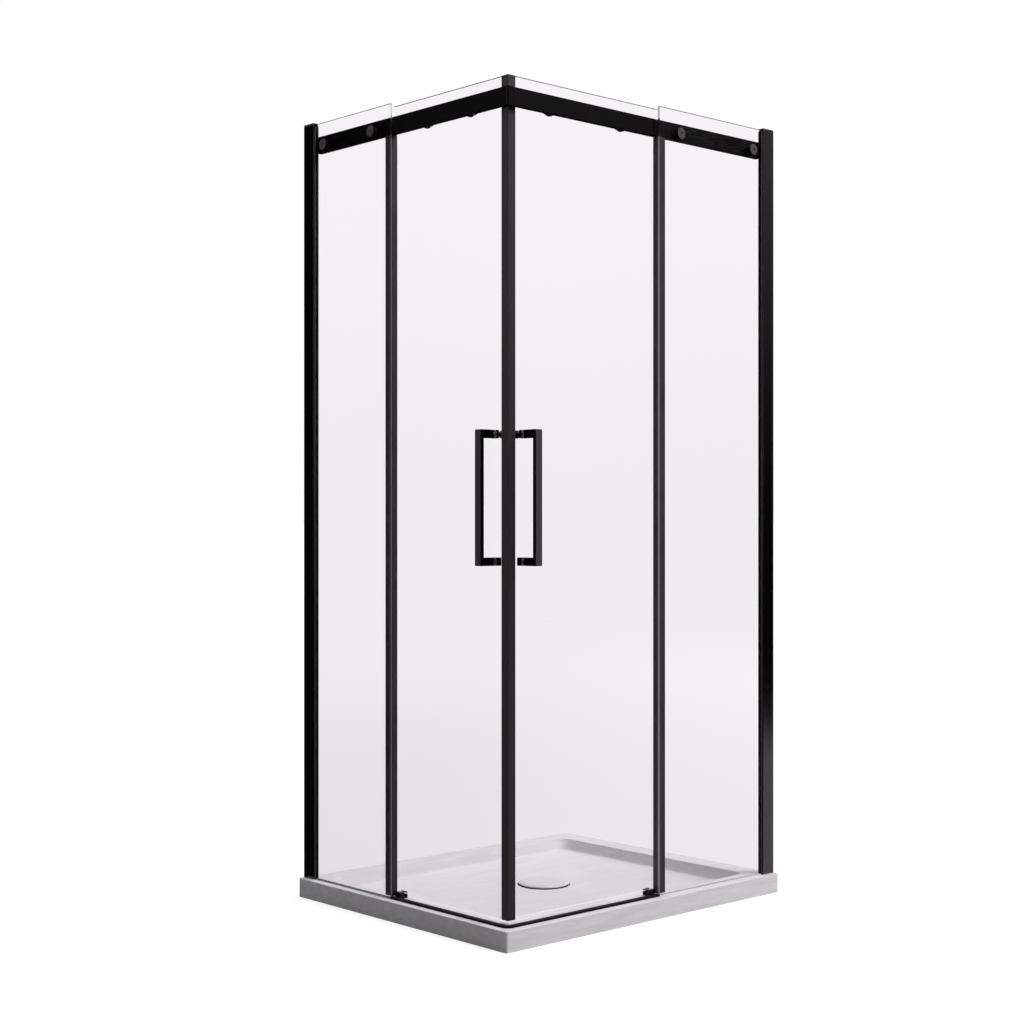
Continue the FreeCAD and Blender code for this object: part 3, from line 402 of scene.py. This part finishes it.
def clear_seal_material(name, level, clearness):
    """Clear soft plastic: milky, a little rough, and light passes through it."""
    material, tree, output = new_material(name)
    place = object_place(tree)
    lines = noise(tree, stretched(tree, place, (1.0, 1.0, 0.03)), 900.0)
    shader = add(
        tree, "BsdfPrincipled",
        Base_Color=mottled(tree, noise(tree, place, 50.0), grey(level * 0.97), grey(level * 1.03)),
        Roughness=spread(tree, noise(tree, place, 120.0), 0.12, 0.24),
        IOR=1.45, Transmission_Weight=clearness,
        Normal=bump(tree, lines, 0.08, 0.0002))
    finish_of(tree, output, light_passes(tree, shader, (0.85, 0.86, 0.87, 1)))
    return material


def metal_material(name, level, roughness):
    """Turned steel: bright, with fine tool lines."""
    material, tree, output = new_material(name)
    place = object_place(tree)
    marks = noise(tree, stretched(tree, place, (1.0, 1.0, 6.0)), 300.0, detail=2.0)
    finish_of(tree, output, add(
        tree, "BsdfPrincipled",
        Base_Color=mottled(tree, noise(tree, place, 70.0), grey(level * 0.9), grey(level * 1.08)),
        Roughness=spread(tree, marks, roughness - 0.06, roughness + 0.08),
        Metallic=1.0,
        Normal=bump(tree, marks, 0.06, 0.0001)))
    return material


def plastic_material(name, level, roughness):
    """Moulded plastic with a fine spark-eroded texture."""
    material, tree, output = new_material(name)
    place = object_place(tree)
    finish_of(tree, output, add(
        tree, "BsdfPrincipled",
        Base_Color=mottled(tree, noise(tree, place, 35.0), grey(level * 0.88), grey(level * 1.12)),
        Roughness=spread(tree, noise(tree, place, 110.0), roughness - 0.05, roughness + 0.07),
        Normal=bump(tree, noise(tree, place, 1800.0, detail=2.0), 0.2, 0.0001)))
    return material


def brush_material():
    """Black bristles: each strand a little lighter or darker, with a dull sheen."""
    material, tree, output = new_material("black_brush")
    strands = noise(tree, stretched(tree, object_place(tree), (0.2, 0.2, 1.0)), 1100.0, detail=1.0)
    finish_of(tree, output, add(
        tree, "BsdfPrincipled",
        Base_Color=blend_colour(tree, strands, grey(0.004), grey(0.03)),
        Roughness=spread(tree, strands, 0.55, 0.8),
        Normal=bump(tree, strands, 0.3, 0.0002)))
    return material


def make_materials():
    """The materials, by the record's slot or by the name used below."""
    return {
        "tray_white": tray_material(),
        "waste_white": waste_material(),
        "black_metal": powder_coat("black_metal", 0.0008, 0.13, specular=1.0),
        "satin_metal": powder_coat("satin_metal", 0.0105, 0.5, specular=0.4),
        # The front closing profile's coat is a lighter copy of the satin coat: painted light on a profile that
        # stands behind glass.
        "satin_closing_painted_light": powder_coat("satin_closing_painted_light", 0.042, 0.5, specular=0.4),
        "rail_metal": powder_coat("rail_metal", 0.0025, 0.4, specular=0.05),
        "strip_metal": powder_coat("strip_metal", 0.005, 0.7, specular=0.08),
        "disc_metal": powder_coat("disc_metal", 0.052, 0.4),
        "guide_black": powder_coat("guide_black", 0.001, 0.22, specular=0.15),
        "handle_front": handle_material("handle_metal_front", ACROSS["front"]),
        "handle_side": handle_material("handle_metal_side", ACROSS["side"]),
        "black_plastic": plastic_material("black_plastic", 0.004, 0.45),
        "black_rubber": rubber_material("black_rubber", 0.006, 0.6),
        "black_brush": brush_material(),
        "clear_seal": clear_seal_material("clear_seal", 0.87, 0.8),
        "foot_seal_painted_light_and_shade": foot_seal_material("foot_seal_painted_light_and_shade", 0.7, 0.24),
        "clear_washer_with_painted_highlight": washer_material("clear_washer_with_painted_highlight", 0.95),
        "steel": metal_material("steel", 0.55, 0.3),
        "nylon": plastic_material("nylon", 0.55, 0.4),
        "glass": glass_material(),
        # Ground pane edges: the side edge is a darker copy as painted shade, the rail stretch is painted dark
        # where the black rail would show through, and the doors' low edges are painted bright as highlight
        # lines.
        "edge_top": edge_material("ground_edge_top", 0.62, 0.4),
        "edge_front": edge_material("ground_edge_front", 0.62, 0.65),
        "edge_side": edge_material("ground_edge_side_painted_shade", 0.2, 0.7),
        "edge_rail": edge_material("ground_edge_rail_painted_dark", 0.006, 1.0),
        "edge_low_front": edge_material("ground_edge_low_front_painted_highlight", 0.92, 1.0),
        "edge_low_side": edge_material("ground_edge_low_side_painted_highlight", 0.74, 1.0),
    }


# Sub-parts whose finish differs from the rest of their slot, by name without or with the face.
# The front closing profile's lighter coat is painted light; the base seals' and washers' finishes carry
# painted light and shade as well.
FINISHES = {"lead_profile": "satin_metal", "closing_profile": "satin_metal", "magnet_seal": "satin_metal",
            "glass_channel": "satin_metal", "closing_profile_front": "satin_closing_painted_light",
            "threshold_strip": "strip_metal", "rail_corner": "rail_metal", "base_seals": "foot_seal_painted_light_and_shade",
            "handle_washers": "clear_washer_with_painted_highlight", "bottom_guide": "guide_black"}


def dress_nodes(made):
    """Give every sub-part the material of its slot, or the finish that the photograph shows on it."""
    for entry in frame["record"]["subparts"]:
        name, slot = entry["node"], entry["material_slot"]
        face = name.rsplit("_", 1)[-1]
        kind = name[:-len(face) - 1] if face in FACES else name
        finish = "handle_" + face if slot == "handle_metal" else FINISHES.get(name, FINISHES.get(kind, slot))
        piece = NODES[name]
        piece.data.materials.clear()
        piece.data.materials.append(made[finish])


# Small rounded edges on the CAD sub-parts whose names start so, in millimetres.
ROUNDED = {
    "shower_tray": 1.2, "wall_channel": 0.3, "channel_caps": 0.8, "rail_front": 0.8, "rail_side": 0.8,
    "rail_corner": 0.4, "handle_front": 0.8, "handle_side": 0.8, "handle_knobs": 0.6, "clamp_discs": 0.8,
    "lead_profile": 0.6, "closing_profile": 0.6, "threshold_strip": 0.8, "bottom_guide": 0.6,
    "roller_axles": 0.4, "rail_end_plugs": 0.6, "wheel": 0.3, "rail_stops": 0.5, "waste_flange": 0.4,
    "glass_channel": 0.3,
}


def round_edges():
    """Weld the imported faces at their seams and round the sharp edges, as real profiles and mouldings are."""
    for name, node in NODES.items():
        size = next((mm for start, mm in ROUNDED.items() if name.startswith(start)), None)
        if size is None:
            continue
        weld = node.modifiers.new("weld", "WELD")
        weld.merge_threshold = 1e-5
        bevel = node.modifiers.new("rounded", "BEVEL")
        bevel.width = size * MM
        bevel.segments = 3
        bevel.limit_method = "ANGLE"
        bevel.angle_limit = math.radians(40)
        bevel.use_clamp_overlap = True
        even = node.modifiers.new("even", "WEIGHTED_NORMAL")
        even.weight = 80


# Pieces that only the scene has, in millimetres. s runs from the entry corner along a face, d inwards from
# the tray's edge, z up.

def spot(face, s, d, z):
    """A point of a face."""
    if face == "front":
        return Vector((CORNER[0] + s * MM, CORNER[1] + d * MM, z * MM))
    return Vector((CORNER[0] + d * MM, CORNER[1] + s * MM, z * MM))


def new_piece(name, bm, material, body, stands_for=()):
    """An object made of a finished mesh, which rides a body and may stand for nodes of the CAD model."""
    bmesh.ops.recalc_face_normals(bm, faces=bm.faces)
    mesh = bpy.data.meshes.new(name)
    bm.to_mesh(mesh)
    bm.free()
    mesh.materials.append(material)
    piece = bpy.data.objects.new(name, mesh)
    SCENE.collection.objects.link(piece)
    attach(piece, body)
    if stands_for:
        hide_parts(*stands_for)
    return piece


def add_tube(bm, rings):
    """A closed solid through rings of points, with a flat face at each end."""
    for first, second in zip(rings, rings[1:]):
        for i in range(len(first)):
            j = (i + 1) % len(first)
            bm.faces.new((first[i], first[j], second[j], second[i]))
    bm.faces.new(rings[0])
    bm.faces.new(rings[-1])


def add_ribbon(bm, face, path, d_low, d_high):
    """A thin closed ribbon let into a pane's edge, along a path of (s, z, inward s, inward z)."""
    deep, proud, slope, within = 0.5, 0.04, 0.12, 0.02
    rings = []
    for s, z, in_s, in_z in path:
        out = (s - in_s * proud, z - in_z * proud)
        inside = (s + in_s * deep, z + in_z * deep)
        rings.append([bm.verts.new(spot(face, *p)) for p in (
            (out[0], d_low + slope, out[1]), (out[0], d_high - slope, out[1]),
            (s, d_high - within, z), (inside[0], d_high - within, inside[1]),
            (inside[0], d_low + within, inside[1]), (s, d_low + within, z))])
    add_tube(bm, rings)


def build_pane_edges(made):
    """Ground edges of the four panes: the tops, the fixed panes' free edges and the doors' lower edges."""
    profile_gap = 0.5
    for face in FACES:
        edge, wall = PANE_EDGE[face] / MM, SPAN[face] / MM - WALL_PROFILE
        profile_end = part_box("lead_profile_" + face)[1][ALONG[face]]
        door_start = (profile_end - CORNER[ALONG[face]]) / MM + profile_gap
        door = "door_" + face
        # The free edge's rail stretch is painted dark, and the doors' lower edges are painted as bright
        # highlight lines.
        pieces = (
            ("fixed_pane_top_", "edge_top", "base", FIXED_EDGE[face],
             [(wall, PANE_TOP, 0, -1), (edge, PANE_TOP, 1, -1), (edge, OVER_RAIL, 1, 0)]),
            ("fixed_pane_edge_", "edge_" + face, "base", FIXED_EDGE[face],
             [(edge, UNDER_RAIL, 1, 0), (edge, FIXED_PANE_FOOT, 1, 0)]),
            ("fixed_pane_rail_edge_painted_dark_", "edge_rail", "base", FIXED_EDGE[face],
             [(edge, OVER_RAIL, 1, 0), (edge, UNDER_RAIL, 1, 0)]),
            ("door_pane_top_", "edge_top", door, DOOR_EDGE,
             [(door_start, PANE_TOP, 0, -1), (edge + DOOR_LAP_TOP, PANE_TOP, 0, -1)]),
            ("door_pane_foot_painted_highlight_", "edge_low_" + face, door, DOOR_EDGE,
             [(door_start, DOOR_PANE_FOOT, 0, 1), (edge + DOOR_LAP_FOOT, DOOR_PANE_FOOT, 0, 1)]))
        for name, finish, body, width, path in pieces:
            bm = bmesh.new()
            add_ribbon(bm, face, path, *width)
            new_piece(name + face, bm, made[finish], body)


def across_at(face, s, z):
    """Points about an axis across a face, from a depth along it and two offsets from it."""
    return lambda depth, right, up: spot(face, s + right, depth, z + up)


def upright_at(centre):
    """Points about an upright axis, from a height and two offsets from it."""
    return lambda depth, right, up: Vector((centre[0] + right * MM, centre[1] + up * MM, depth * MM))


SIX = True


def add_turned(bm, place, outline, segments):
    """A solid turned about an axis. outline is (depth, radius), with SIX where it is six-sided."""
    rings = []
    for depth, radius, *six in outline:
        if radius == 0:
            rings.append([bm.verts.new(place(depth, 0, 0))])
            continue
        ring = []
        for i in range(segments):
            angle = 2 * math.pi * i / segments
            turn = (angle + math.pi / 6) % (math.pi / 3) - math.pi / 6
            r = radius / math.cos(turn) if six else radius
            ring.append(bm.verts.new(place(depth, r * math.cos(angle), r * math.sin(angle))))
        rings.append(ring)
    for first, second in zip(rings, rings[1:]):
        for i in range(segments):
            j = (i + 1) % segments
            corners = [ring[k % len(ring)] for ring, k in ((first, i), (first, j), (second, j), (second, i))]
            bm.faces.new(list(dict.fromkeys(corners)))


def build_screws(made):
    """Button-head lock screws of the wall channels, with six-sided sockets."""
    bm = bmesh.new()
    outline = [(22.5, 0), (22.5, 1.6), (23.0, 2.0), (30.5, 2.0), (30.5, 3.3), (30.7, 3.5), (31.3, 3.5),
               (32.0, 3.15), (32.4, 2.5), (32.5, 2.0), (32.5, 1.25, SIX), (31.2, 1.25, SIX), (31.0, 0)]
    for face in FACES:
        for z in SCREW_HEIGHTS:
            add_turned(bm, across_at(face, SPAN[face] / MM - SCREW_FROM_WALL, z), outline, 36)
    new_piece("lock_screw_heads", bm, made["steel"], "base", ["lock_screws"])


def build_roller_caps(made):
    """Turned roller caps inside the doors: a stepped face, a ring groove and a socket to tighten them."""
    reach = 14.5
    outline = [(52.0, 0), (52.0, 14.0), (52.4, reach), (55.6, reach), (56.4, 14.3), (57.2, 13.7),
               (57.5, 13.1), (57.5, 11.8), (57.1, 11.5), (57.1, 10.8), (57.5, 10.5), (58.0, 10.1),
               (58.0, 4.8), (57.7, 4.4), (57.7, 3.0, SIX), (55.0, 3.0, SIX), (54.8, 0)]
    for face in FACES:
        bm = bmesh.new()
        low, high = (corner[ALONG[face]] - CORNER[ALONG[face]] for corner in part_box("roller_caps_" + face))
        for s in (low / MM + reach, high / MM - reach):
            add_turned(bm, across_at(face, s, ROLLER_HEIGHT), outline, 60)
        new_piece("roller_cap_faces_" + face, bm, made["black_plastic"], "door_" + face,
                  ["roller_caps_" + face])


def build_clamps(made):
    """Clamp discs: a dark cup with its stud in the rail, and a grey cap with a six-sided socket."""
    reach = 14.0
    cup = [(32.0, 0), (32.0, 3.6), (31.6, 4.0), (19.0, 4.0), (19.0, reach), (16.6, reach), (16.1, 13.8),
           (15.8, 13.4), (15.8, 12.95), (18.0, 12.95), (18.0, 0)]
    cap = [(17.95, 0), (17.95, 12.9), (15.5, 12.9), (15.2, 12.75), (15.0, 12.3), (15.0, 4.2), (15.25, 3.8),
           (15.25, 3.2, SIX), (17.2, 3.2, SIX), (17.3, 0)]
    cups = bmesh.new()
    for face in FACES:
        caps = bmesh.new()
        for s in (PANE_EDGE[face] / MM + CLAMP_FROM_EDGE, SPAN[face] / MM - CLAMP_FROM_WALL):
            add_turned(cups, across_at(face, s, CLAMP_HEIGHT), cup, 60)
            add_turned(caps, across_at(face, s, CLAMP_HEIGHT), cap, 60)
        new_piece("clamp_cap_faces_" + face, caps, made["disc_metal"], "base")
    new_piece("clamp_cups", cups, made["rail_metal"], "base", ["clamp_discs"])


def build_waste_cover(made):
    """The loose waste cover: a shallow dome with a rolled edge, on round feet, and a black rubber skirt that
    is painted shadow for the gap under its edge.
    """
    low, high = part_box("waste_cover")
    centre = [(low[axis] + high[axis]) / 2 for axis in (0, 1)]
    reach = (high[0] - low[0]) / 2 / MM
    under, crown, sag, flat, roll, segments = 17.1, 24.0, 0.6, 42.0, 12, 120
    top = [(crown - sag * (r / flat) ** 2, r) for r in (12.0, 24.0, 36.0, flat)]
    edge_low = under + 1
    turns = [math.pi / 2 * i / roll for i in range(1, roll + 1)]
    edge = [(edge_low + (crown - sag - edge_low) * math.cos(turn), flat + (reach - flat) * math.sin(turn))
            for turn in turns]
    bottom = [(under, reach - 0.6), (under, reach - 4.0), (20.2, flat), (21.4, 20.0), (21.6, 0)]
    bm = bmesh.new()
    add_turned(bm, upright_at(centre), [(crown, 0)] + top + edge + bottom, segments)
    feet, foot_ring, foot_low, foot_high, foot_radius, foot_round = 3, 50.0, 10.0, 20.5, 4.0, 0.6
    foot = [(foot_low, 0), (foot_low, foot_radius - foot_round), (foot_low + foot_round, foot_radius),
            (foot_high, foot_radius), (foot_high, 0)]
    for i in range(feet):
        turn = 2 * math.pi * i / feet
        place = (centre[0] + foot_ring * MM * math.cos(turn), centre[1] + foot_ring * MM * math.sin(turn))
        add_turned(bm, upright_at(place), foot, 24)
    cover = new_piece("waste_cover_dome", bm, made["waste_white"], "waste_cover",
                      ["waste_cover"])
    # A black rubber ring set back under the cover's edge: a dark piece that stands in for the shadow in the
    # gap below the edge.
    skirt_low, skirt_high, lip, thick, rounding = 12.5, under + 0.6, 1.6, 2.0, 0.4
    outer, inner = reach - lip, reach - lip - thick
    skirt = [(skirt_high, outer), (skirt_low + rounding, outer), (skirt_low, outer - rounding),
             (skirt_low, inner), (skirt_high, inner)]
    bm = bmesh.new()
    add_turned(bm, upright_at(centre), skirt + skirt[:1], segments)
    bmesh.ops.remove_doubles(bm, verts=bm.verts, dist=1e-7)
    painted_shadow_ring = new_piece("waste_cover_painted_shadow_skirt", bm, made["black_rubber"], "waste_cover")
    for piece in (cover, painted_shadow_ring):
        for polygon in piece.data.polygons:
            polygon.use_smooth = True


def build_bristles(made):
    """Pile of the closing brushes: rows of fine tapered tufts on a backing strip, cut a little unevenly."""
    draw = random.Random(7)
    bm = bmesh.new()
    pitch, row_gap, sunk = 2.6, 1.15, 0.2
    base, top, tip = 37.9, 39.3, 45.6
    backing = [(-3.5, base), (3.5, base), (3.5, top - 0.3), (3.2, top), (-3.2, top), (-3.5, top - 0.3)]
    wide = ((-0.5, -0.9), (0.5, -0.9), (0.5, 0.9), (-0.5, 0.9))
    fine = ((-0.3, -0.5), (0.3, -0.5), (0.3, 0.5), (-0.3, 0.5))
    for face in FACES:
        axis = PANE_EDGE[face] / MM + BRUSH_FROM_EDGE
        add_tube(bm, [[bm.verts.new(spot(face, axis + ds, d, z)) for ds, d in backing]
                      for z in (BRUSH_FOOT, BRUSH_TOP)])
        for row, ds in enumerate((-row_gap, 0.0, row_gap)):
            z = BRUSH_FOOT + 1.2 + pitch * (row % 2) / 2
            while z < BRUSH_TOP - 1.0:
                lean_s, lean_z = draw.uniform(-0.2, 0.2), draw.uniform(-0.4, 0.4)
                end = tip - draw.uniform(0.0, 0.5)
                foot = [(axis + ds + a, top - sunk, z + b) for a, b in wide]
                crown = [(axis + ds + lean_s + a, end, z + lean_z + b) for a, b in fine]
                add_tube(bm, [[bm.verts.new(spot(face, *p)) for p in ring] for ring in (foot, crown)])
                z += pitch
    new_piece("closing_pile", bm, made["black_brush"], "base", ["closing_brushes"])


# Studio.

def by_ray(tree, dull, through, glossy, white):
    """What bounced light, rays through glass, mirrored rays and the camera's own rays see."""
    path = add(tree, "LightPath")
    mirrored = math_node(tree, "GREATER_THAN", path.outputs["Glossy Depth"], 0.5)
    mirrored = math_node(tree, "SUBTRACT", mirrored, path.outputs["Is Diffuse Ray"])
    mix = dull
    for factor, shader in ((path.outputs["Is Transmission Ray"], through), (mirrored, glossy),
                           (path.outputs["Is Camera Ray"], white)):
        mix = add(tree, "MixShader", Fac=factor, in_1=mix.outputs[0], in_2=shader.outputs[0])
    return mix


def glowing(tree, level, colour, strength):
    """A dull grey that also glows."""
    return add(tree, "AddShader", in_0=add(tree, "BsdfDiffuse", Color=grey(level)).outputs[0],
               in_1=add(tree, "Emission", Color=colour, Strength=strength).outputs[0])


def build_floor():
    """A pale floor: white to the camera, with its shadow; through glass it has painted shade near the object
    and on its left, and painted light on its right.
    """
    material, tree, output = new_material("studio_floor")
    place = object_place(tree)
    away = add(tree, "VectorMath", {"operation": "LENGTH"}, in_0=place).outputs["Value"]
    pale = tinted(1.0, PALE_TINT)
    white = glowing(tree, FLOOR_GREY, grey(1.0), FLOOR_GLOW)
    # Through glass: painted shade near the object and on its left, painted light on its right.
    to_right = vector_node(tree, "DOT_PRODUCT", place, FLANK)
    beside_painted_light_and_shade = glowing(tree, BESIDE_GREY, pale, math_node(
        tree, "MULTIPLY", ramp(tree, away, 0.5, 7.0, BESIDE_GLOW_NEAR_PAINTED_SHADE, BESIDE_GLOW_FAR),
        ramp(tree, to_right, -0.8, 0.8, LEFT_PAINTED_SHADE, RIGHT_PAINTED_LIGHT)))
    far = add(tree, "Emission", Color=pale, Strength=FAR_WHITE)
    through = add(tree, "MixShader", Fac=ramp(tree, away, 2.0, 12.0), in_1=beside_painted_light_and_shade.outputs[0],
                  in_2=far.outputs[0])
    from_pool = vector_node(tree, "DISTANCE", place, POOL_CENTRE)
    glossy = add(tree, "Emission", Color=grey(1.0),
                 Strength=ramp(tree, from_pool, POOL_FULL, POOL_END, POOL_STRENGTH, POOL_OUTSIDE))
    dull = add(tree, "BsdfDiffuse", Color=grey(BOUNCE_GREY))
    seen = by_ray(tree, dull, through, glossy, white)
    # Under the outlet the floor is painted dark: painted shade for the drain below a real tray.
    low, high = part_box("waste_flange")
    outlet = ((low[0] + high[0]) / 2, (low[1] + high[1]) / 2, 0.0)
    from_outlet = vector_node(tree, "DISTANCE", place, outlet)
    drain_painted_shade = math_node(tree, "LESS_THAN", from_outlet, (high[0] - low[0]) / 2)
    dark = add(tree, "BsdfDiffuse", Color=grey(DRAIN_PAINTED_SHADE_GREY))
    finish_of(tree, output, add(tree, "MixShader", Fac=drain_painted_shade, in_1=seen.outputs[0], in_2=dark.outputs[0]))
    half = FLOOR_SIZE / 2
    mesh = bpy.data.meshes.new("studio_floor")
    mesh.from_pydata([(-half, -half, 0), (half, -half, 0), (half, half, 0), (-half, half, 0)], [],
                     [(0, 1, 2, 3)])
    mesh.materials.append(material)
    floor = bpy.data.objects.new("studio_floor", mesh)
    SCENE.collection.objects.link(floor)


def build_world():
    """White to the camera and through glass. Gloss sees a white backdrop, bright heights and dark flanks."""
    world = bpy.data.worlds.new("studio")
    SCENE.world = world
    world.use_nodes = True
    tree = world.node_tree
    tree.nodes.clear()
    output = tree.nodes.new("ShaderNodeOutputWorld")
    place = add(tree, "TexCoord").outputs["Generated"]
    height = parts_of(tree, place)["Z"]
    to_fill, to_flank, to_back, to_left = (
        vector_node(tree, "DOT_PRODUCT", place, direction) for direction in (FILL_FROM, FLANK, BEHIND, LEFT))
    fill = add(tree, "Background", Color=tinted(1.0, LAMP_TINT),
               Strength=ramp(tree, to_fill, -0.5, 0.9, FILL_LOW, FILL_HIGH))
    flank = math_node(tree, "MULTIPLY", ramp(tree, to_flank, 0.0, 0.6),
                      ramp(tree, height, 0.0, 0.35, FLANK_LOW, FLANK_HIGH))
    behind = ramp(tree, to_back, 0.3, 0.8)
    heights = ramp(tree, height, 0.25, 0.75, 0.0, HEIGHTS_STRENGTH)
    left = ramp(tree, to_left, 0.80, 0.96, 0.0, LEFT_STRENGTH)
    gloss = math_node(tree, "MAXIMUM", math_node(tree, "MAXIMUM", flank, behind),
                      math_node(tree, "MAXIMUM", heights, left))
    glossy = add(tree, "Background", Color=grey(1.0), Strength=gloss)
    through = add(tree, "Background", Color=tinted(1.0, PALE_TINT),
                  Strength=ramp(tree, height, 0.0, 0.2, FAR_WHITE, 1.0))
    white = add(tree, "Background", Color=grey(1.0), Strength=1.0)
    finish_of(tree, output, by_ray(tree, fill, through, glossy, white))


def build_lamp(name, comes_from, strength, spread_angle):
    """A broad soft lamp, far enough away to light everything alike."""
    lamp = bpy.data.lights.new(name, "SUN")
    lamp.energy = strength
    lamp.color = LAMP_TINT
    lamp.angle = math.radians(spread_angle)
    holder = bpy.data.objects.new(name, lamp)
    holder.rotation_euler = comes_from.to_track_quat("Z", "Y").to_euler()
    SCENE.collection.objects.link(holder)


def build_camera():
    """The photograph's camera."""
    data = bpy.data.cameras.new("camera")
    data.sensor_width = CAMERA_SENSOR
    data.lens = CAMERA_LENS
    data.shift_y = CAMERA_SHIFT
    camera = bpy.data.objects.new("camera", data)
    camera.location = CAMERA_PLACE
    camera.rotation_euler = (-CAMERA_AIM).to_track_quat("Z", "Y").to_euler()
    SCENE.collection.objects.link(camera)
    SCENE.camera = camera


materials = make_materials()
dress_nodes(materials)
round_edges()
build_pane_edges(materials)
build_screws(materials)
build_roller_caps(materials)
build_clamps(materials)
build_waste_cover(materials)
build_bristles(materials)
build_floor()
build_world()
build_lamp("key", KEY_FROM, KEY_STRENGTH, KEY_SPREAD)
build_lamp("top", TOP_FROM, TOP_STRENGTH, TOP_SPREAD)
build_camera()
SCENE.view_settings.view_transform = "Standard"
